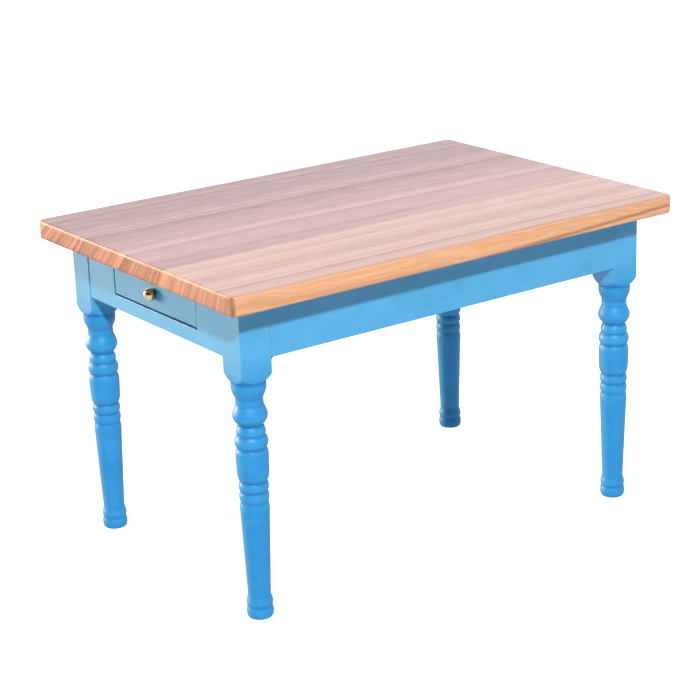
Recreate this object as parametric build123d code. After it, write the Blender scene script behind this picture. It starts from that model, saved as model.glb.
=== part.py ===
from build123d import *
from math import sqrt
import os

# A 1:12 dining table with one drawer, in millimetres.
# X runs along the table with the drawer at -X, and Z is up. The origin is on the floor under the table's middle.
# Left and right are those of someone who stands at the drawer and faces the table, so right is -Y.

# Driving dimensions
table_height = 63.5
top_length = 101.6
top_width = 69.6
top_thickness = 3.7
end_overhang = 4.3
side_overhang = 5.1

leg_block = 6.25
apron_height = 10.4
apron_thickness = 3.0
apron_setback = 0.08
tenon_thickness = 1.6
tenon_length = 2.0
tenon_height = 7.0
tenon_drop = 1.6
glue_gap = 0.03

drawer_opening = 29.2
drawer_offset = -0.8
drawer_rail = 2.8
drawer_depth = 40.0
side_gap = 0.22
top_gap = 0.2
rest_gap = 0.05
front_lift = 0.12
front_thickness = 2.4
front_rebate = 1.2
drawer_wall = 1.5
drawer_wall_height = 6.2
drawer_floor = 0.8
groove_depth = 0.6
groove_height = 0.8

knob_ball = 2.4
knob_reach = 1.95
knob_drop = 0.3
knob_pin = 0.8
knob_pin_length = 2.0

strip_width = 1.8
guide_height = 4.0
rail_thickness = 3.0
dado_depth = 0.8
block_width = 3.0
block_height = 6.0

arris = 0.25
top_arris = 0.5
top_corner = 1.1
front_arris = 0.15

# Sizes that follow from the driving dimensions
top_underside = table_height - top_thickness
frame_length = top_length - 2 * end_overhang
frame_width = top_width - 2 * side_overhang
apron_bottom = top_underside - apron_height
leg_x = (frame_length - leg_block) / 2
leg_y = (frame_width - leg_block) / 2
end_face = frame_length / 2 - apron_setback
side_face = frame_width / 2 - apron_setback
end_inner = end_face - apron_thickness
side_inner = side_face - apron_thickness
opening_bottom = apron_bottom + drawer_rail
drawer_half_width = drawer_opening / 2 - side_gap
drawer_base = opening_bottom + rest_gap
front_base = drawer_base + front_lift
front_top = top_underside - top_gap
drawer_back_x = drawer_depth - end_face
wall_inner = drawer_half_width - drawer_wall
rail_front = drawer_back_x + rest_gap
strip_length = rail_front + end_inner
knob_height = (front_base + front_top) / 2 - knob_drop

# The drawer and its strips are modelled about the table's middle, and stand on this line a little to the right
drawer_line = Pos(0, drawer_offset, 0)

# The turned part of a leg: each feature is (radius, height above the floor), from the floor up
foot_base = (2.2, 0)
foot_crest = (2.44, 0.95)
foot_groove = (2.22, 2.2)
ankle_crest = (2.38, 3.05)
ankle = (2.06, 4.8)
taper_end = (2.6, 20.4)
taper_crest = (2.64, 21.4)
taper_groove = (2.44, 22.5)
first_ring = (2.66, 23.5)
first_groove = (2.4, 24.5)
second_ring = (2.68, 25.45)
second_groove = (2.36, 26.4)
barrel_start = (2.86, 28.2)
barrel_end = (2.94, 31.3)
barrel_groove = (2.56, 32.7)
collar = (2.97, 33.8)
collar_groove = (2.48, 35.1)
neck_ring = (2.6, 35.8)
neck = (2.13, 37.0)
bulb = (3.11, 38.7)
band_start = (2.47, 40.8)
band_end = (2.42, 42.0)
bead = (3.11, 44.2)
shoulder_groove = (3.03, 45.2)
shoulder = (4.0, 46.15)
shoulder_end = (leg_block / sqrt(2) + arris, 48.2)


def box(x_range, y_range, z_range):
    """A plain block between two corners."""
    size = [high - low for low, high in (x_range, y_range, z_range)]
    centre = [(high + low) / 2 for low, high in (x_range, y_range, z_range)]
    return Pos(*centre) * Box(*size)


def tabletop():
    plan = RectangleRounded(top_length, top_width, top_corner)
    board = Pos(0, 0, top_underside) * extrude(plan, top_thickness)
    return fillet(board.edges().group_by(Axis.Z)[0] + board.edges().group_by(Axis.Z)[-1], top_arris)


def turned_outline():
    """Half of the leg's turned outline in the XZ plane, with the leg's axis on Z."""
    beads = [
        ThreePointArc(foot_base, foot_crest, foot_groove),
        Spline(foot_groove, ankle_crest, ankle, tangents=((1, 2), (0.1, 1))),
        Line(ankle, taper_end),
        ThreePointArc(taper_end, taper_crest, taper_groove),
        ThreePointArc(taper_groove, first_ring, first_groove),
        ThreePointArc(first_groove, second_ring, second_groove),
        Spline(second_groove, barrel_start, tangents=((1, 1.2), (0, 1))),
        Line(barrel_start, barrel_end),
        Spline(barrel_end, barrel_groove, tangents=((0, 1), (-1, 1.2))),
        ThreePointArc(barrel_groove, collar, collar_groove),
        ThreePointArc(collar_groove, neck_ring, neck),
        Spline(neck, bulb, band_start, tangents=((1, 1), (-0.4, 1))),
        Line(band_start, band_end),
        Spline(band_end, bead, tangents=((0.3, 1), (0, 1))),
        Spline(bead, shoulder_groove, tangents=((0, 1), (-0.4, 1))),
        ThreePointArc(shoulder_groove, shoulder, shoulder_end),
    ]
    axis_side = Polyline(shoulder_end, (shoulder_end[0], top_underside), (0, top_underside), (0, 0), foot_base)
    return Plane.XZ * make_face(beads + [axis_side])


def leg(x_side, y_side):
    """A leg turned from a square blank, with a mortise for each apron's tenon."""
    blank = extrude(RectangleRounded(leg_block, leg_block, arris), top_underside)
    post = Pos(x_side * leg_x, y_side * leg_y) * (blank & revolve(turned_outline(), Axis.Z))
    return post - end_tenon(x_side, y_side, glue_gap) - side_tenon(x_side, y_side, glue_gap)


def mirrored(side, low, high):
    """A range on the positive or the negative side of the middle."""
    return (low, high) if side > 0 else (-high, -low)


def tenon_z(gap):
    top = top_underside - tenon_drop
    return (top - tenon_height - gap, top + gap)


def end_tenon(x_side, y_side, gap=0):
    """A stub tenon of an end apron, or its mortise when a gap is given."""
    middle = end_face - apron_thickness / 2
    start = leg_y - leg_block / 2
    across = (middle - tenon_thickness / 2 - gap, middle + tenon_thickness / 2 + gap)
    along = (start, start + tenon_length + gap)
    return box(mirrored(x_side, *across), mirrored(y_side, *along), tenon_z(gap))


def side_tenon(x_side, y_side, gap=0):
    """A stub tenon of a long apron, or its mortise when a gap is given. It is clear of the end apron's tenon."""
    middle = side_face - apron_thickness / 2
    start = leg_x - leg_block / 2
    across = (middle - tenon_thickness / 2 - gap, middle + tenon_thickness / 2 + gap)
    along = (start, start + tenon_length + gap)
    return box(mirrored(x_side, *along), mirrored(y_side, *across), tenon_z(gap))


def side_apron(y_side):
    """A long apron, with a groove inside that holds the end of the cross rail."""
    half = leg_x - leg_block / 2
    board = box((-half, half), mirrored(y_side, side_inner, side_face), (apron_bottom, top_underside))
    board += side_tenon(1, y_side) + side_tenon(-1, y_side)
    rail = (rail_front - glue_gap, rail_front + rail_thickness + glue_gap)
    dado = mirrored(y_side, side_inner, side_inner + dado_depth)
    return board - box(rail, dado, (apron_bottom, top_underside))


def end_apron(x_side):
    half = leg_y - leg_block / 2
    board = box(mirrored(x_side, end_inner, end_face), (-half, half), (apron_bottom, top_underside))
    return board + end_tenon(x_side, 1) + end_tenon(x_side, -1)


def drawer_end_apron():
    """The end apron with an opening for the drawer that runs up to the tabletop."""
    half = drawer_opening / 2
    opening = box((-end_face, -end_inner), (-half, half), (opening_bottom, top_underside))
    return end_apron(-1) - drawer_line * opening


def drawer_front():
    """The flush front, with rebates for the drawer's sides, a groove for its floor and a hole for the knob."""
    face_x = (-end_face, front_thickness - end_face)
    panel = box(face_x, (-drawer_half_width, drawer_half_width), (front_base, front_top))
    panel = fillet(panel.faces().sort_by(Axis.X)[0].edges(), front_arris)
    for side in (1, -1):
        rebate_x = (front_rebate - end_face, front_thickness - end_face)
        rebate_y = mirrored(side, wall_inner, drawer_half_width)
        panel -= box(rebate_x, rebate_y, (front_base, front_top))
    hole = Rot(0, 90, 0) * Cylinder(knob_pin / 2 + glue_gap, front_thickness)
    hole = Pos(front_thickness / 2 - end_face, 0, knob_height) * hole
    return panel - floor_board(glue_gap) - hole


def floor_board(gap=0):
    """The drawer's floor, or the groove that holds it when a gap is given."""
    reach = wall_inner + groove_depth + gap
    front = front_thickness - groove_depth - end_face - gap
    base = drawer_base + groove_height
    return box((front, drawer_back_x + gap), (-reach, reach), (base - gap, base + drawer_floor + gap))


def drawer_side(y_side):
    wall = box(
        (front_rebate - end_face, drawer_back_x),
        mirrored(y_side, wall_inner, drawer_half_width),
        (drawer_base, drawer_base + drawer_wall_height),
    )
    return wall - floor_board(glue_gap)


def drawer_back():
    """The back stands on the floor board, between the sides."""
    base = drawer_base + groove_height + drawer_floor
    return box(
        (drawer_back_x - drawer_wall, drawer_back_x),
        (-wall_inner, wall_inner),
        (base, drawer_base + drawer_wall_height),
    )


def drawer_knob():
    """A round-headed brass pin, which points away from the table. Its head is most of a ball, flat at the back."""
    from_face = (Align.CENTER, Align.CENTER, Align.MIN)
    into_front = (Align.CENTER, Align.CENTER, Align.MAX)
    ball = Pos(0, 0, knob_reach - knob_ball / 2) * Sphere(knob_ball / 2)
    head = ball & Box(knob_ball, knob_ball, knob_reach, align=from_face)
    pin = Cylinder(knob_pin / 2, knob_pin_length, align=into_front)
    return Pos(-end_face, 0, knob_height) * Rot(0, -90, 0) * (head + pin)


def runner(y_side):
    """The strip under one side of the drawer."""
    outer = drawer_opening / 2 + strip_width
    inner = wall_inner
    across = mirrored(y_side, inner, outer)
    return box((-end_inner, strip_length - end_inner), across, (apron_bottom, opening_bottom))


def guide(y_side):
    """The strip beside the drawer, glued on top of the runner."""
    across = mirrored(y_side, drawer_opening / 2, drawer_opening / 2 + strip_width)
    return box((-end_inner, strip_length - end_inner), across, (opening_bottom, opening_bottom + guide_height))


def cross_rail():
    """The rail across the table behind the drawer, which stops the drawer and ties the long aprons."""
    half = side_inner + dado_depth - glue_gap
    return box((rail_front, rail_front + rail_thickness), (-half, half), (apron_bottom, top_underside))


def corner_block(x_side, y_side):
    """A diagonal block between two aprons, against the inner corner of a leg."""
    near = (end_inner - leg_x + leg_block / 2) + (side_inner - leg_y + leg_block / 2) + glue_gap
    far = near + block_width
    outline = [
        (x_side * (end_inner - near), y_side * side_inner),
        (x_side * (end_inner - far), y_side * side_inner),
        (x_side * end_inner, y_side * (side_inner - far)),
        (x_side * end_inner, y_side * (side_inner - near)),
    ]
    plan = make_face(Polyline(*outline, close=True))
    return Pos(0, 0, top_underside - block_height) * extrude(plan, block_height, dir=(0, 0, 1))


nodes = {
    "tabletop": tabletop(),
    "leg_drawer_left": leg(-1, 1),
    "leg_drawer_right": leg(-1, -1),
    "leg_far_left": leg(1, 1),
    "leg_far_right": leg(1, -1),
    "apron_left": side_apron(1),
    "apron_right": side_apron(-1),
    "apron_drawer_end": drawer_end_apron(),
    "apron_far_end": end_apron(1),
    "drawer_front": drawer_line * drawer_front(),
    "drawer_side_left": drawer_line * drawer_side(1),
    "drawer_side_right": drawer_line * drawer_side(-1),
    "drawer_back": drawer_line * drawer_back(),
    "drawer_bottom": drawer_line * floor_board(),
    "drawer_knob": drawer_line * drawer_knob(),
    "runner_left": drawer_line * runner(1),
    "runner_right": drawer_line * runner(-1),
    "guide_left": drawer_line * guide(1),
    "guide_right": drawer_line * guide(-1),
    "cross_rail": cross_rail(),
    "corner_block_drawer_left": corner_block(-1, 1),
    "corner_block_drawer_right": corner_block(-1, -1),
    "corner_block_far_left": corner_block(1, 1),
    "corner_block_far_right": corner_block(1, -1),
}

os.makedirs("parts", exist_ok=True)
for name, solid in nodes.items():
    export_step(solid, f"parts/{name}.step")
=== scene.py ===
import math

import bmesh
import bpy
import numpy as np
from mathutils import Matrix, Quaternion, Vector, noise


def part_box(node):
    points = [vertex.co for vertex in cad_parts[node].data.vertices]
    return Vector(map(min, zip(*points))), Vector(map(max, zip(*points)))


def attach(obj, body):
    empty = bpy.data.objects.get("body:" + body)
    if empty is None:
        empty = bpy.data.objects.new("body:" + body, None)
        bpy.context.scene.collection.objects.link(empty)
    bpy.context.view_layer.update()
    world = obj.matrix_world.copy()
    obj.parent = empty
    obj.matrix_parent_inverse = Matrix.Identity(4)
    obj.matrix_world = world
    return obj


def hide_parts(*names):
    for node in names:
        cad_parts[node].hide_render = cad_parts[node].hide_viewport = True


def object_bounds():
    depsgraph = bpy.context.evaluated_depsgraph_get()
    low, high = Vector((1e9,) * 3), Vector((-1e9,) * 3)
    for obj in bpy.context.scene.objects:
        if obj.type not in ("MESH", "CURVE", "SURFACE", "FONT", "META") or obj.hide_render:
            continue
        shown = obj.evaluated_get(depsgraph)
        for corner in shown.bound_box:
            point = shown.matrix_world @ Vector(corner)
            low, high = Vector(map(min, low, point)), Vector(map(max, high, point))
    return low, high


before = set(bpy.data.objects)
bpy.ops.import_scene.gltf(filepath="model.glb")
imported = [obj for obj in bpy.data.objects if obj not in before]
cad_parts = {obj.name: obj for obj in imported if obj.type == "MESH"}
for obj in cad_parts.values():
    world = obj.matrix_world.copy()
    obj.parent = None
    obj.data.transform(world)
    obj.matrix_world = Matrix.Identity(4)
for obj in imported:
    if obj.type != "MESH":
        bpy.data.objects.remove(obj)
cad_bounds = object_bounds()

# Everything is in metres in the frame of the CAD parts: X along the table with the drawer at -X, Z up.
# Left and right are those of someone who stands at the drawer and faces the table.
MM = 0.001
TOP_LOW, TOP_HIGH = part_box("tabletop")
LEGS = ["leg_drawer_left", "leg_drawer_right", "leg_far_left", "leg_far_right"]
LONG_APRONS = ["apron_left", "apron_right"]
END_APRONS = ["apron_drawer_end", "apron_far_end"]
STRIPS = ["runner_left", "runner_right", "guide_left", "guide_right", "cross_rail"]
CORNER_BLOCKS = [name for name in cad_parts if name.startswith("corner_block")]
DRAWER_BOX = ["drawer_side_left", "drawer_side_right", "drawer_back", "drawer_bottom"]

# Edges, coats of paint and gaps
TOP_ARRIS = 0.5 * MM
TOP_CORNER = 1.1 * MM
BLOCK_ARRIS = 0.3 * MM
APRON_ARRIS = 0.12 * MM
FRONT_ARRIS = 0.16 * MM
STRIP_ARRIS = 0.12 * MM
PAINT_COAT = 0.03 * MM
PAINT_SPREAD = 0.1 * MM
PAINT_FILLET = 0.9 * MM
OPEN_SEAM = 0.16 * MM
APRON_TUCK = 0.3 * MM
DRAWER_TRIM = 0.2 * MM
DRAWER_TILT = math.radians(-0.25)
SANDING = 0.02 * MM

# A vertex is part of a rounded edge when it is less than this many edge radii from it
EDGE_REACH = 1.2

# Heights on a leg: where its plain taper starts and ends, and where the shoulder has become the square block
TAPER_START = 5 * MM
TAPER_END = 20 * MM
BLOCK_START = 48.6 * MM

# The tabletop's plan at its face, across the board in millimetres: where the sapwood ends, and the
# (centre, half width, strength) of each streak that stands out. A negative strength is a dark streak.
SAP_EDGE = -13.6
STREAKS = [
    (28.0, 10.0, -0.11),
    (16.5, 2.2, 0.02),
    (13.2, 1.6, -0.08),
    (9.5, 2.6, 0.02),
    (12.0, 5.0, -0.035),
    (-3.0, 11.0, 0.09),
    (-4.0, 0.8, -0.07),
    (-8.2, 0.9, -0.07),
    (-12.0, 1.6, -0.03),
    (-18.0, 3.5, 0.05),
    (-24.0, 1.7, -0.08),
    (-27.6, 1.8, 0.05),
    (-31.3, 1.0, -0.12),
    (-33.6, 1.2, 0.05),
]

# The light: how bright the floor is, to other surfaces and to the camera, how bright the room is behind the
# camera, and the backdrop ahead of it. A lamp's direction points from the table to the lamp.
FLOOR_GLOW = 0.5
FLOOR_SEEN = 0.9
ROOM = 0.045
BACKDROP = 1.4
LAMP_DISTANCE = 0.9
LAMP_POWER = 10.3
KEY_DIRECTION = (-0.393, -0.663, 0.637)
KEY_WIDTH = 0.06
LEFT_DIRECTION = (-0.48, 0.86, 0.08)
LEFT_WIDTH = 0.34
LEFT_COLOUR = (1.45, 1.0, 0.66)

# The camera: its place, the direction it looks along, and its lens
CAMERA_PLACE = Vector((-0.21453, -0.29862, 0.15761))
HEADING = math.radians(54.684)
DROP = math.radians(18.583)
ROLL = math.radians(-2.06)
LENS = 100.48
LENS_SHIFT = (0.0023, 0.0022)


# ---------------------------------------------------------------- node materials

class Shader:
    """A node material with one Principled surface. Each call adds a node and returns its output socket."""

    def __init__(self, name):
        self.material = bpy.data.materials.new(name)
        self.material.use_nodes = True
        self.tree = self.material.node_tree
        self.surface = self.tree.nodes["Principled BSDF"]
        self.place = self.node("ShaderNodeTexCoord").outputs["Object"]

    def feed(self, socket, value):
        if isinstance(value, bpy.types.NodeSocket):
            self.tree.links.new(value, socket)
        else:
            socket.default_value = value

    def node(self, kind, inputs=None, **settings):
        made = self.tree.nodes.new(kind)
        for key, value in settings.items():
            setattr(made, key, value)
        for key, value in (inputs or {}).items():
            self.feed(made.inputs[key], value)
        return made

    def math(self, operation, a, b=0.0, c=0.0):
        return self.node("ShaderNodeMath", {0: a, 1: b, 2: c}, operation=operation).outputs[0]

    def add(self, a, b):
        return self.math("ADD", a, b)

    def times(self, a, b):
        return self.math("MULTIPLY", a, b)

    def millimetres(self, stretch=(1, 1, 1)):
        """The place on the object in millimetres, with each axis scaled by its factor."""
        scale = tuple(factor / MM for factor in stretch)
        return self.node("ShaderNodeMapping", {"Vector": self.place, "Scale": scale}).outputs[0]

    def axes(self, vector):
        return self.node("ShaderNodeSeparateXYZ", {0: vector}).outputs

    def attribute(self, name):
        return self.node("ShaderNodeAttribute", attribute_name=name).outputs["Fac"]

    def noise(self, vector, scale=1.0, detail=2.0, roughness=0.5):
        inputs = {"Vector": vector, "Scale": scale, "Detail": detail, "Roughness": roughness}
        return self.node("ShaderNodeTexNoise", inputs).outputs["Fac"]

    def line_noise(self, value, scale=1.0, detail=2.0, roughness=0.5):
        inputs = {"W": value, "Scale": scale, "Detail": detail, "Roughness": roughness}
        return self.node("ShaderNodeTexNoise", inputs, noise_dimensions="1D").outputs["Fac"]

    def cells(self, vector, scale=1.0):
        """The distance to the nearest of scattered points."""
        return self.node("ShaderNodeTexVoronoi", {"Vector": vector, "Scale": scale}).outputs["Distance"]

    def spread(self, value, low, high, to_low=0.0, to_high=1.0, smooth=False):
        """Carries the range from low to high over to another range, and stops at its ends."""
        kind = "SMOOTHSTEP" if smooth else "LINEAR"
        inputs = {"Value": value, "From Min": low, "From Max": high, "To Min": to_low, "To Max": to_high}
        return self.node("ShaderNodeMapRange", inputs, interpolation_type=kind, clamp=True).outputs[0]

    def stripe(self, value, centre, half_width, strength):
        """A soft stripe of the given strength around one value."""
        away = self.math("ABSOLUTE", self.math("SUBTRACT", value, centre))
        return self.spread(away, 0.0, half_width, strength, 0.0, smooth=True)

    def ramp(self, value, stops):
        """Colours along a value. Each stop is (position, colour)."""
        made = self.node("ShaderNodeValToRGB", {"Fac": value})
        elements = made.color_ramp.elements
        while len(elements) < len(stops):
            elements.new(0.5)
        for element, (position, colour) in zip(elements, stops):
            element.position = position
            element.color = (*colour, 1)
        return made.outputs["Color"]

    def mix(self, amount, first, second):
        """The first colour where the amount is 0, and the second where it is 1."""
        made = self.node("ShaderNodeMix", data_type="RGBA")
        colours = [(*c, 1) if isinstance(c, tuple) else c for c in (first, second)]
        for index, value in ((0, amount), (6, colours[0]), (7, colours[1])):
            self.feed(made.inputs[index], value)
        return made.outputs[2]

    def bump(self, height, distance, normal=None):
        """A surface raised by up to the distance, in millimetres, on top of an earlier bump."""
        inputs = {"Height": height, "Distance": distance * MM}
        if normal is not None:
            inputs["Normal"] = normal
        return self.node("ShaderNodeBump", inputs).outputs[0]

    def finish(self, **surface):
        """Feeds the Principled surface and returns the material. An input's name has _ for each space."""
        for name, value in surface.items():
            self.feed(self.surface.inputs[name.replace("_", " ")], value)
        return self.material


# ---------------------------------------------------------------- materials

def varnished_wood():
    """Reddish brown wood with its grain along the table, under a satin varnish."""
    s = Shader("varnished_wood")
    place = s.millimetres()
    x, y, z = (s.axes(place)[i] for i in range(3))

    # A growth ring is a sheet along X. It leans more towards the left edge, and wanders along the board.
    lean = s.spread(y, TOP_LOW.y / MM, TOP_HIGH.y / MM, 0.3, 1.3)
    depth = s.math("SUBTRACT", z, TOP_HIGH.z / MM)
    drift = s.times(s.math("SUBTRACT", s.noise(s.millimetres((0.012, 0.03, 0.03)), 1.0, 1.0), 0.5), 4.0)
    shiver = s.times(s.math("SUBTRACT", s.noise(s.millimetres((0.09, 0.3, 0.3)), 1.0, 2.0), 0.5), 0.9)
    slope = s.times(x, -0.025)
    ring = s.math("MULTIPLY_ADD", lean, depth, y)
    ring = s.math("SUBTRACT", s.add(ring, s.add(drift, shiver)), slope)

    # Early and late growth at three widths, and the board's own strong streaks
    broad = s.times(s.line_noise(ring, 0.25, 2.0), 0.3)
    broad = s.add(broad, s.times(s.line_noise(ring, 0.9, 2.0, 0.6), 0.35))
    tone = s.add(broad, s.times(s.line_noise(ring, 4.0, 2.0, 0.6), 0.2))
    fibre = s.noise(s.millimetres((0.1, 3.0, 3.0)), 1.0, 3.0, 0.65)
    tone = s.add(tone, s.times(fibre, 0.15))
    for centre, half_width, strength in STREAKS:
        tone = s.add(tone, s.stripe(ring, centre, half_width, strength))
    # The faces' mauve tint is painted sheen, the bluish light their varnish reflects.
    heart = s.ramp(tone, [
        (0.34, (0.17, 0.085, 0.09)),
        (0.5, (0.27, 0.14, 0.15)),
        (0.66, (0.41, 0.24, 0.23)),
    ])
    sap = s.ramp(tone, [
        (0.34, (0.26, 0.135, 0.12)),
        (0.5, (0.385, 0.225, 0.19)),
        (0.66, (0.5, 0.325, 0.27)),
    ])

    # Sapwood runs along the right edge, and fades into the heartwood over a width that grows towards +X
    fade_end = s.spread(x, TOP_LOW.x / MM, TOP_HIGH.x / MM, SAP_EDGE + 1.5, SAP_EDGE + 10.0)
    hearted = s.spread(ring, SAP_EDGE - 1.0, fade_end, smooth=True)
    face = s.mix(hearted, sap, heart)

    # The long edges are warmer than the faces, as painted light: the light falling full on them is painted
    # in. On them a dark vein climbs from the underside towards +X.
    side = s.ramp(tone, [
        (0.34, (0.4, 0.17, 0.08)),
        (0.5, (0.6, 0.3, 0.15)),
        (0.66, (0.74, 0.43, 0.25)),
    ])
    climb = s.spread(x, -5.0, TOP_HIGH.x / MM, TOP_LOW.z / MM - 0.3, TOP_LOW.z / MM + 1.8)
    vein = s.stripe(z, s.add(climb, s.times(drift, 0.15)), 0.6, 0.65)
    side = s.mix(vein, side, (0.2, 0.07, 0.02))

    # The end grain soaks up varnish and is darker, with a stipple of cut fibres. It is paler in the sapwood.
    stipple = s.noise(s.millimetres((0.5, 2.6, 2.6)), 1.0, 2.0)
    end_tone = s.add(s.times(s.add(tone, stipple), 0.12), s.times(broad, 1.17))
    end_grain = s.ramp(end_tone, [
        (0.42, (0.15, 0.042, 0.014)),
        (0.5, (0.26, 0.088, 0.036)),
        (0.58, (0.4, 0.165, 0.085)),
    ])
    end_grain = s.mix(s.spread(hearted, 0.0, 1.0, 0.3, 0.0), end_grain, (0.45, 0.24, 0.15))

    # The way a point faces chooses among the three
    normal = s.axes(s.node("ShaderNodeNewGeometry").outputs["Normal"])
    on_face = s.spread(s.math("ABSOLUTE", normal[2]), 0.45, 0.8)
    on_end = s.spread(s.math("ABSOLUTE", normal[0]), 0.3, 0.7)
    colour = s.mix(on_face, s.mix(on_end, side, end_grain), face)

    # The faces are smoother than the edges
    wear = s.noise(s.millimetres((0.4, 1.0, 1.0)), 0.5, 3.0)
    roughness = s.spread(wear, 0.3, 0.7, 0.26, 0.36)
    roughness = s.add(roughness, s.times(s.math("SUBTRACT", 1.0, on_face), 0.16))
    return s.finish(Base_Color=colour, Roughness=roughness, Normal=s.bump(fibre, 0.02))


def blue_paint():
    """Bright blue satin paint. It is deeper on turned wood than on flat wood, as painted light: the flat
    boards' paler blue paints in the sheen they catch.
    """
    s = Shader("blue_paint")
    cloud = s.noise(s.millimetres((0.12, 0.12, 0.2)), 1.0, 2.0)
    streaks = s.noise(s.millimetres((0.2, 0.2, 2.4)), 1.0, 3.0, 0.6)
    tone = s.add(s.times(cloud, 0.6), s.times(streaks, 0.4))
    # Two copies of one paint: the paler one for flat boards holds painted sheen.
    flat = s.ramp(tone, [
        (0.3, (0.044, 0.26, 0.465)),
        (0.5, (0.053, 0.287, 0.505)),
        (0.7, (0.062, 0.312, 0.54)),
    ])
    deep = s.ramp(tone, [
        (0.3, (0.013, 0.195, 0.44)),
        (0.5, (0.017, 0.218, 0.475)),
        (0.7, (0.022, 0.24, 0.51)),
    ])
    turned = s.attribute("turned")
    colour = s.mix(turned, flat, deep)
    gloss = s.spread(turned, 0.0, 1.0, 0.5, 0.3)

    # Paint is thin and paler on a ridge. It is thick and darker in a groove, partly painted shade, and
    # darkest in the painted shadow just under the block's shoulder.
    crest_and_shade = s.attribute("crest_and_shade")
    colour = s.mix(s.spread(crest_and_shade, 0.02, 0.16, 0.0, 0.25), colour, (0.06, 0.34, 0.6))
    colour = s.mix(s.spread(crest_and_shade, -0.16, -0.02, 0.6, 0.0), colour, (0.006, 0.12, 0.34))

    # Specks of dust caught in the paint, brush marks, and a fine orange peel
    speck = s.spread(s.cells(s.millimetres(), 0.4), 0.03, 0.07, 1.0, 0.0)
    colour = s.mix(s.times(speck, 0.3), colour, (0.3, 0.55, 0.78))
    peel = s.noise(s.millimetres(), 1.6, 2.0)
    roughness = s.spread(s.noise(s.millimetres(), 0.4, 3.0), 0.3, 0.7, 0.33, 0.42)
    roughness = s.add(roughness, s.times(turned, 0.1))
    fine = s.bump(peel, 0.006)
    brushed = s.bump(streaks, 0.012, fine)
    surface = s.bump(speck, 0.015, brushed)
    return s.finish(Base_Color=colour, Roughness=roughness, Specular_IOR_Level=gloss, Normal=surface)


def bare_wood(name, along):
    """Pale sanded wood with its grain along one axis. Just behind the drawer's front it is darkened with
    painted shade, so the gaps round the front read dark.
    """
    s = Shader(name)
    stretch = [2.2, 2.2, 2.2]
    stretch[along] = 0.07
    slow = [0.35, 0.35, 0.35]
    slow[along] = 0.02
    grain = s.noise(s.millimetres(stretch), 1.0, 3.0, 0.6)
    bands = s.noise(s.millimetres(slow), 1.0, 2.0)
    tone = s.add(s.times(grain, 0.5), s.times(bands, 0.5))
    colour = s.ramp(tone, [
        (0.32, (0.4, 0.25, 0.13)),
        (0.5, (0.55, 0.38, 0.22)),
        (0.68, (0.68, 0.5, 0.32)),
    ])
    dirt = s.spread(s.noise(s.millimetres(), 0.3, 3.0), 0.55, 0.75, 0.0, 0.3)
    colour = s.mix(dirt, colour, (0.3, 0.2, 0.12))
    behind_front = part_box("drawer_front")[1].x / MM
    # Painted shade: a dark band just behind the drawer's front, where light hardly reaches.
    painted_gap_shade = s.spread(s.axes(s.millimetres())[0], behind_front + 0.2, behind_front + 0.7, 0.95, 0.0)
    colour = s.mix(painted_gap_shade, colour, (0.02, 0.025, 0.04))
    roughness = s.spread(grain, 0.3, 0.7, 0.7, 0.58)
    return s.finish(Base_Color=colour, Roughness=roughness, Normal=s.bump(grain, 0.05))


def polished_brass():
    """Lacquered brass with a haze and turning marks. By the drawer it is darkened with painted shade."""
    s = Shader("brass")
    haze = s.noise(s.millimetres(), 1.5, 3.0)
    colour = s.ramp(haze, [
        (0.3, (0.66, 0.42, 0.14)),
        (0.5, (0.78, 0.54, 0.22)),
        (0.7, (0.86, 0.64, 0.3)),
    ])
    tarnish = s.spread(s.noise(s.millimetres(), 3.0, 3.0), 0.58, 0.72, 0.0, 0.35)
    colour = s.mix(tarnish, colour, (0.4, 0.24, 0.09))
    x = s.axes(s.millimetres())[0]
    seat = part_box("drawer_front")[0].x / MM
    # Painted shade: darker towards the seat on the drawer's front.
    colour = s.mix(s.spread(x, seat - 1.0, seat - 0.2, 0.0, 0.85), colour, (0.1, 0.05, 0.02))
    marks = s.line_noise(x, 14.0, 2.0)
    roughness = s.spread(haze, 0.3, 0.7, 0.1, 0.2)
    return s.finish(Base_Color=colour, Metallic=1.0, Roughness=roughness, Normal=s.bump(marks, 0.004))


WOOD = varnished_wood()
PAINT = blue_paint()
BARE_ALONG_X = bare_wood("bare_wood_lengthways", 0)
BARE_ALONG_Y = bare_wood("bare_wood_crossways", 1)
BRASS = polished_brass()


# ---------------------------------------------------------------- pieces

def add_piece(name, mesh, material, slot, body, *nodes):
    """Shows a mesh, which moves with a CAD body, in place of CAD nodes."""
    mesh.materials.clear()
    mesh.materials.append(material)
    mesh.shade_smooth()
    obj = bpy.data.objects.new(name, mesh)
    bpy.context.scene.collection.objects.link(obj)
    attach(obj, body)
    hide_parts(*nodes)
    return obj


def ripple(points, size, height):
    """Smooth random offsets for points, with lumps of about the given size."""
    return np.array([noise.noise(Vector(point) / size) for point in points]) * height


def ring_mesh(name, rings):
    """A skin over rings that have the same number of points, with a flat cap at each end."""
    count = len(rings[0])
    points = np.concatenate(rings)
    faces = []
    for row in range(len(rings) - 1):
        first = row * count
        for i in range(count):
            j = (i + 1) % count
            faces.append((first + i, first + j, first + count + j, first + count + i))
    last = (len(rings) - 1) * count
    faces.append(tuple(reversed(range(count))))
    faces.append(tuple(range(last, last + count)))
    mesh = bpy.data.meshes.new(name)
    mesh.from_pydata(points.tolist(), [], faces)
    return mesh


def lower_of(a, b, blend):
    """The lower of two values, with the crease between them rounded."""
    share = np.clip(0.5 + 0.5 * (b - a) / blend, 0, 1)
    return b + (a - b) * share - blend * share * (1 - share)


# ---------------------------------------------------------------- tabletop

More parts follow.
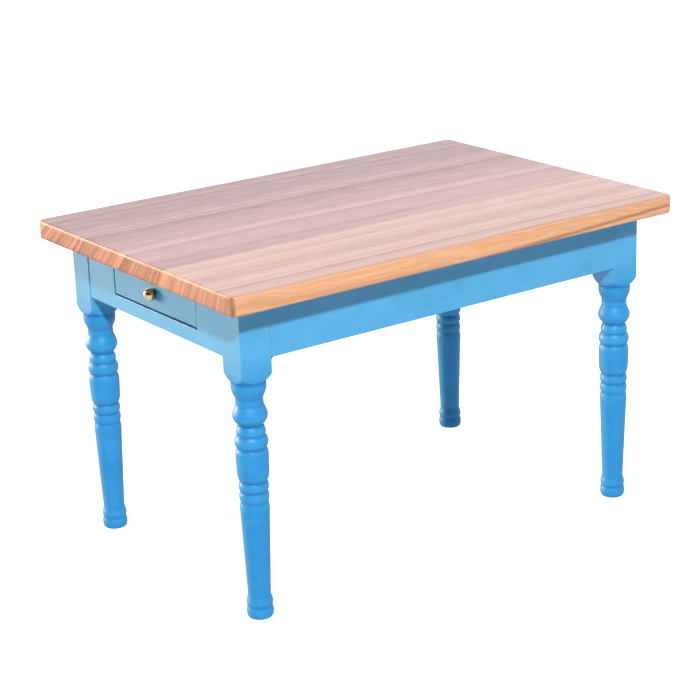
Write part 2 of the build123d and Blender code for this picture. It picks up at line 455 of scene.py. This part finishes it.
def board_outline(inset):
    """Points round the tabletop's plan, at a distance inside its edge. They start at the +X +Y corner."""
    radius = max(TOP_CORNER - inset, 0.02 * MM)
    half_x = TOP_HIGH.x - inset - radius
    half_y = TOP_HIGH.y - inset - radius
    corner_steps = 6
    corners = []
    for turn, (sx, sy) in enumerate(((1, 1), (-1, 1), (-1, -1), (1, -1))):
        angles = np.radians(90 * (turn + np.arange(corner_steps + 1) / corner_steps))
        across = [sx * half_x + radius * np.cos(angles), sy * half_y + radius * np.sin(angles)]
        corners.append(np.column_stack(across))
    plan = []
    for turn, corner in enumerate(corners):
        start = corner[-1]
        end = corners[(turn + 1) % 4][0]
        steps = 100 if turn % 2 == 0 else 70
        shares = np.arange(1, steps)[:, None] / steps
        plan += [corner, start + (end - start) * shares]
    return np.concatenate(plan)


def tabletop():
    """One board with softened edges, planed and sanded not quite flat."""
    thickness = TOP_HIGH.z - TOP_LOW.z
    arc = [math.radians(90 * i / 6) for i in range(7)]
    face_insets = np.linspace(TOP_HIGH.y - 0.1 * MM, TOP_ARRIS + 0.8 * MM, 34).tolist()
    face_insets.append(TOP_ARRIS + 0.15 * MM)
    upper = [(inset, 0.0) for inset in face_insets]
    upper += [(TOP_ARRIS * (1 - math.sin(a)), TOP_ARRIS * (1 - math.cos(a))) for a in arc]
    upper += [(0.0, thickness * share) for share in (0.25, 0.4)]
    profile = upper + [(inset, thickness - drop) for inset, drop in reversed(upper)]
    rings = []
    for inset, drop in profile:
        plan = board_outline(inset)
        height = np.full(len(plan), TOP_HIGH.z - drop)
        rings.append(np.column_stack([plan, height]))
    mesh = ring_mesh("tabletop_board", rings)
    points = np.array([vertex.co[:] for vertex in mesh.vertices])
    outward = np.array([vertex.normal[:] for vertex in mesh.vertices])
    sanded_off = SANDING + ripple(points, 9 * MM, 0.015 * MM) + ripple(points, 3 * MM, 0.002 * MM)
    points -= outward * sanded_off[:, None]
    mesh.vertices.foreach_set("co", points.ravel())
    add_piece("board", mesh, WOOD, "varnished_wood", "frame", "tabletop")


# ---------------------------------------------------------------- turned legs

def turned_outline(node):
    """Heights on a CAD leg and its turned radius at each. From the bead up, the outline only widens."""
    low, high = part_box(node)
    centre = (low + high) / 2
    points = np.array([vertex.co[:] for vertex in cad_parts[node].data.vertices])
    radius = np.hypot(points[:, 0] - centre.x, points[:, 1] - centre.y)
    height = points[:, 2].round(6)
    levels = np.unique(height)
    widest = np.array([radius[height == level].max() for level in levels])
    half_block = (high.x - low.x) / 2
    shoulder = np.argmax(widest > half_block)
    widest[shoulder:] = np.maximum.accumulate(widest[shoulder:])
    return levels, widest


def softened_outline(levels, radius, heights):
    """The outline as a coat of paint leaves it: a little fuller, with its grooves partly filled."""
    step = 0.02 * MM
    fine = np.arange(levels[0], levels[-1] + step, step)
    line = np.interp(fine, levels, radius)
    reach = int(3 * PAINT_SPREAD / step)
    kernel = np.exp(-0.5 * (np.arange(-reach, reach + 1) * step / PAINT_SPREAD) ** 2)
    padded = np.pad(line, reach, mode="edge")
    smooth = np.convolve(padded, kernel / kernel.sum(), mode="valid")
    return np.interp(heights, fine, smooth) + PAINT_COAT


def block_section(angles, half):
    """Distance from a leg's axis to the face of its square block, which has rounded corners."""
    turn = np.abs((angles + np.pi / 4) % (np.pi / 2) - np.pi / 4)
    face = half / np.cos(turn)
    inner = half - BLOCK_ARRIS
    along = inner * (np.cos(turn) + np.sin(turn))
    corner = along + np.sqrt(np.maximum(along ** 2 - 2 * inner ** 2 + BLOCK_ARRIS ** 2, 0))
    return np.where(half * np.tan(turn) < inner, face, corner)


def leg_angles():
    """Angles round a leg, closer together at the block's four corners."""
    corner = np.radians(np.linspace(41, 49, 13))
    face = np.radians(np.linspace(-41, 41, 17)[1:-1])
    quarter = np.concatenate([face, corner])
    return np.concatenate([quarter + turn * np.pi / 2 for turn in range(4)])


def leg_heights(top):
    """Heights of a leg's rings: close together where it is turned, and wider apart on the plain parts."""
    fine = 0.1 * MM
    return np.concatenate([
        np.arange(0, TAPER_START, fine),
        np.arange(TAPER_START, TAPER_END, 5 * fine),
        np.arange(TAPER_END, BLOCK_START, fine),
        np.linspace(BLOCK_START, top, 24),
    ])


def leg_ring(centre, distance, angles, height):
    """Points round a leg at one height, at a distance from its axis."""
    return np.column_stack([
        centre.x + distance * np.cos(angles),
        centre.y + distance * np.sin(angles),
        np.full(len(angles), height),
    ])


def leg_attributes(levels, radius, heights, shoulder_start):
    """What the paint needs to know at each height: how far it stands out as a ridge or sinks as a groove,
    with a painted shadow just under the block's shoulder, and how turned it is.
    """
    outline = softened_outline(levels, radius, heights)
    above = softened_outline(levels, radius, heights + 0.5 * MM)
    below = softened_outline(levels, radius, heights - 0.5 * MM)
    crest_and_shade = np.where(heights < shoulder_start, (outline - (above + below) / 2) / MM, 0)
    # A painted shadow: a dark band just under the block's shoulder, where its corners overhang the turning.
    crest_and_shade -= 0.25 * np.exp(-((heights - shoulder_start + 0.15 * MM) / (0.3 * MM)) ** 2)
    fading = [shoulder_start, shoulder_start + 1.5 * MM, shoulder_start + 6 * MM]
    return crest_and_shade, np.interp(heights, fading, [1, 0.5, 0])


def roughen(ring, centre):
    """Moves the points of a ring in or out by a little, as hand sanding leaves them."""
    away = ring - [centre.x, centre.y, 0]
    away[:, 2] = 0
    unit = away / np.linalg.norm(away, axis=1)[:, None]
    return ring + unit * (ripple(ring, 3 * MM, 0.012 * MM) + ripple(ring, 0.8 * MM, 0.004 * MM))[:, None]


def turned_leg(node):
    """One painted leg, from its sole through the turning to its square block."""
    low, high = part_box(node)
    centre = (low + high) / 2
    angles = leg_angles()
    levels, radius = turned_outline(node)
    half_block = (high.x - low.x) / 2
    shoulder_start = levels[np.argmax(radius > half_block) - 1]
    heights = leg_heights(high.z)
    outline = softened_outline(levels, radius, heights)
    section = block_section(angles, half_block + PAINT_COAT)
    rings = []
    sole = [(0.02 * MM, 0.3 * MM), (0.3 * MM, 0.22 * MM), (0.42 * MM, 0.0), (outline[0] - 0.25 * MM, 0.0)]
    for distance, height in sole:
        rings.append(leg_ring(centre, np.full(len(angles), distance), angles, height))
    for height, turned in zip(heights, outline):
        square = height > shoulder_start - 0.6 * MM
        distance = lower_of(turned, section, 0.12 * MM) if square else np.full(len(angles), turned)
        rounding = max(0.0, 0.2 * MM - height) * 0.4
        rings.append(roughen(leg_ring(centre, distance - rounding, angles, height), centre))
    mesh = ring_mesh(node + "_turned", rings)
    crest_and_shade, is_turned = leg_attributes(levels, radius, heights, shoulder_start)
    for name, values, at_sole in (("crest_and_shade", crest_and_shade, 0), ("turned", is_turned, 1)):
        every = np.repeat(np.concatenate([np.full(len(sole), at_sole), values]), len(angles))
        attribute = mesh.attributes.new(name, "FLOAT", "POINT")
        attribute.data.foreach_set("value", every.astype(np.float32))
    add_piece(node + "_turned", mesh, PAINT, "blue_paint", "frame", node)


# ---------------------------------------------------------------- boards

def softened(node, width):
    """A copy of a CAD piece as a bmesh, with its sharp edges rounded."""
    made = bmesh.new()
    made.from_mesh(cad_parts[node].data)
    bmesh.ops.remove_doubles(made, verts=made.verts, dist=0.002 * MM)
    bmesh.ops.dissolve_limit(made, angle_limit=math.radians(1), verts=made.verts, edges=made.edges)
    sharp = [edge for edge in made.edges if edge.is_manifold and edge.calc_face_angle() > math.radians(40)]
    bmesh.ops.bevel(
        made, geom=sharp, offset=width, segments=3, profile=0.5, affect="EDGES", clamp_overlap=True
    )
    return made


def add_board(node, made, material, slot, body):
    """Shows a rounded board in place of its CAD node. Its flat faces keep flat shading."""
    mesh = bpy.data.meshes.new(node + "_board")
    made.to_mesh(mesh)
    made.free()
    obj = add_piece(node + "_board", mesh, material, slot, body, node)
    obj.modifiers.new("flat_faces", "WEIGHTED_NORMAL").keep_sharp = False


def paint_fillet(made, corner, sideways, across):
    """Adds the paint that gathered in the corner under an apron and beside a leg.

    The corner is where the apron's lower edge meets the leg's side. Sideways points away from the leg, and
    across spans the apron's thickness."""
    steps = 6
    sideways = sideways * PAINT_FILLET
    down = Vector((0, 0, -PAINT_FILLET))
    outline = [corner, corner + sideways]
    hub = corner + sideways + down
    for step in range(1, steps):
        angle = math.radians(90 * step / steps)
        outline.append(hub - sideways * math.sin(angle) - down * math.cos(angle))
    outline.append(corner + down)
    near = [made.verts.new(point) for point in outline]
    far = [made.verts.new(point + across) for point in outline]
    made.faces.new(near)
    made.faces.new(list(reversed(far)))
    for i in range(len(outline)):
        j = (i + 1) % len(outline)
        made.faces.new((near[j], near[i], far[i], far[j]))


def apron(node, along):
    """A painted apron. Its ends run a little into the legs, so that the paint closes the seams."""
    made = softened(node, APRON_ARRIS)
    low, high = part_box(node)
    inner_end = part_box("leg_far_left")[0][along]
    tuck_ends(made, node, along, inner_end)
    thickness = [high.x - low.x, high.y - low.y][1 - along]
    inset = 0.25 * MM
    across = Vector((0, 0, 0))
    across[1 - along] = thickness - 2 * inset
    for side in (1, -1):
        corner = Vector((low.x, low.y, low.z + 0.02 * MM))
        corner[1 - along] += inset
        corner[along] = side * inner_end
        sideways = Vector((0, 0, 0))
        sideways[along] = -side
        paint_fillet(made, corner, sideways, across)
    bmesh.ops.recalc_face_normals(made, faces=made.faces)
    if node == "apron_drawer_end":
        open_seam(made, inner_end)
    add_board(node, made, PAINT, "blue_paint", "frame")


def tuck_ends(made, node, along, inner_end):
    """Runs an apron's ends into the legs, but not the drawer end's into its left leg: that seam is open."""
    for vertex in made.verts:
        place = vertex.co[along]
        left_out = node == "apron_drawer_end" and place > 0
        if abs(place) > inner_end - EDGE_REACH * APRON_ARRIS and not left_out:
            vertex.co[along] += math.copysign(APRON_TUCK, place)


def open_seam(made, end):
    """Opens a thin gap between the drawer end's apron and the left leg, widest at the top."""
    low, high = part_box("apron_drawer_end")
    for vertex in made.verts:
        if end - 0.5 * MM < vertex.co.y < end + 0.1 * MM:
            share = (vertex.co.z - low.z) / (high.z - low.z)
            vertex.co.y -= OPEN_SEAM * (share - 0.25)


def drawer_front():
    """The drawer's front, trimmed below and at its left, and wider at its right. It hangs low at its left."""
    made = softened("drawer_front", FRONT_ARRIS)
    low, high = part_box("drawer_front")
    reach = EDGE_REACH * FRONT_ARRIS
    for vertex in made.verts:
        if vertex.co.z < low.z + reach:
            vertex.co.z += DRAWER_TRIM
        if vertex.co.y > high.y - reach:
            vertex.co.y -= DRAWER_TRIM / 3
        if vertex.co.y < low.y + reach:
            vertex.co.y -= 0.8 * DRAWER_TRIM
    middle = (low + high) / 2
    turn = Matrix.Rotation(DRAWER_TILT, 4, "X")
    tilt = Matrix.Translation(middle) @ turn @ Matrix.Translation(-middle)
    bmesh.ops.transform(made, matrix=tilt, verts=made.verts)
    add_board("drawer_front", made, PAINT, "blue_paint", "drawer")


def bare_pieces():
    """The unpainted strips, blocks and drawer box. Their grain runs along their length."""
    for node in STRIPS + CORNER_BLOCKS + DRAWER_BOX:
        crossways = node in ("cross_rail", "drawer_back", "drawer_bottom") or node.startswith("corner")
        body = "drawer" if node.startswith("drawer") else "frame"
        material = BARE_ALONG_Y if crossways else BARE_ALONG_X
        add_board(node, softened(node, STRIP_ARRIS), material, "bare_wood", body)


# ---------------------------------------------------------------- knob

def drawer_knob():
    """A round-headed brass pin, with a low collar where it meets the drawer's front."""
    low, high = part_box("drawer_knob")
    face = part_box("drawer_front")[0].x
    middle = (low + high) / 2
    ball = (high.z - low.z) / 2
    ball_x = low.x + ball
    end_angle = math.acos((ball_x - face) / ball)
    outline = []
    for angle in np.linspace(0, end_angle, 48):
        outline.append((ball_x - ball * math.cos(angle), max(ball * math.sin(angle), 0.004 * MM)))
    rim = outline[-1][1]
    outline.append((face - 0.1 * MM, rim + 0.02 * MM))
    outline.append((face - 0.1 * MM, rim + 0.06 * MM))
    outline.append((face + 0.1 * MM, rim + 0.1 * MM))
    angles = np.linspace(0, 2 * np.pi, 64, endpoint=False)
    rings = []
    for x, radius in outline:
        rings.append(np.column_stack([
            np.full(len(angles), x),
            middle.y + radius * np.cos(angles),
            middle.z + radius * np.sin(angles),
        ]))
    mesh = ring_mesh("drawer_knob_turned", rings)
    add_piece("drawer_knob_turned", mesh, BRASS, "brass", "drawer", "drawer_knob")


# ---------------------------------------------------------------- stage, light and camera

def floor():
    """A plain white floor that glows faintly, like a light table. The camera sees it brighter."""
    mesh = bpy.data.meshes.new("floor")
    half = 3.0
    corners = [(-half, -half, 0), (half, -half, 0), (half, half, 0), (-half, half, 0)]
    mesh.from_pydata(corners, [], [(0, 1, 2, 3)])
    obj = bpy.data.objects.new("floor", mesh)
    bpy.context.scene.collection.objects.link(obj)
    s = Shader("floor")
    seen = s.node("ShaderNodeLightPath").outputs["Is Camera Ray"]
    glow = s.spread(seen, 0.0, 1.0, FLOOR_GLOW, FLOOR_SEEN)
    tint = s.mix(seen, (0.8, 0.95, 1.15), (1.0, 1.0, 1.0))
    grey = (0.3, 0.3, 0.3, 1)
    material = s.finish(Base_Color=grey, Roughness=0.9, Emission_Color=tint, Emission_Strength=glow)
    mesh.materials.append(material)


def lamp(name, direction, width, colour=(1, 1, 1)):
    """A round light that faces the table from a direction."""
    data = bpy.data.lights.new(name, "AREA")
    data.shape = "DISK"
    data.size = width
    data.energy = LAMP_POWER
    data.color = colour
    obj = bpy.data.objects.new(name, data)
    aim = Vector((0, 0, cad_bounds[1].z / 2))
    toward = Vector(direction).normalized()
    obj.location = aim + toward * LAMP_DISTANCE
    obj.rotation_mode = "QUATERNION"
    obj.rotation_quaternion = toward.to_track_quat("Z", "Y")
    bpy.context.scene.collection.objects.link(obj)


def sky():
    """A white backdrop behind the table, and a darker room on the camera's side. The camera sees white."""
    world = bpy.data.worlds.new("sky")
    world.use_nodes = True
    tree = world.node_tree
    background = tree.nodes["Background"]
    background.inputs["Color"].default_value = (1, 1, 1, 1)
    direction = tree.nodes.new("ShaderNodeTexCoord").outputs["Generated"]
    facing = tree.nodes.new("ShaderNodeVectorMath")
    facing.operation = "DOT_PRODUCT"
    facing.inputs[1].default_value = (math.cos(HEADING), math.sin(HEADING), 0)
    tree.links.new(direction, facing.inputs[0])
    strength = tree.nodes.new("ShaderNodeMapRange")
    strength.interpolation_type = "SMOOTHSTEP"
    for name, value in (("From Min", -0.5), ("From Max", 0.5), ("To Min", ROOM), ("To Max", BACKDROP)):
        strength.inputs[name].default_value = value
    tree.links.new(facing.outputs["Value"], strength.inputs["Value"])
    seen = tree.nodes.new("ShaderNodeLightPath").outputs["Is Camera Ray"]
    choice = tree.nodes.new("ShaderNodeMix")
    choice.inputs[3].default_value = 1.0
    tree.links.new(seen, choice.inputs[0])
    tree.links.new(strength.outputs[0], choice.inputs[2])
    tree.links.new(choice.outputs[0], background.inputs["Strength"])
    bpy.context.scene.world = world


def camera():
    """The camera stands off the drawer end's near corner, and looks a little down."""
    data = bpy.data.cameras.new("camera")
    data.lens = LENS
    data.shift_x, data.shift_y = LENS_SHIFT
    data.clip_start = 0.01
    obj = bpy.data.objects.new("camera", data)
    level = math.cos(DROP)
    ahead = Vector((math.cos(HEADING) * level, math.sin(HEADING) * level, -math.sin(DROP)))
    obj.location = CAMERA_PLACE
    obj.rotation_mode = "QUATERNION"
    obj.rotation_quaternion = ahead.to_track_quat("-Z", "Y") @ Quaternion((0, 0, 1), ROLL)
    bpy.context.scene.collection.objects.link(obj)
    bpy.context.scene.camera = obj


tabletop()
for leg_name in LEGS:
    turned_leg(leg_name)
for apron_name in LONG_APRONS:
    apron(apron_name, 0)
for apron_name in END_APRONS:
    apron(apron_name, 1)
drawer_front()
bare_pieces()
drawer_knob()
floor()
sky()
lamp("key", KEY_DIRECTION, KEY_WIDTH)
lamp("left", LEFT_DIRECTION, LEFT_WIDTH, LEFT_COLOUR)
camera()
bpy.context.scene.view_settings.view_transform = "Standard"
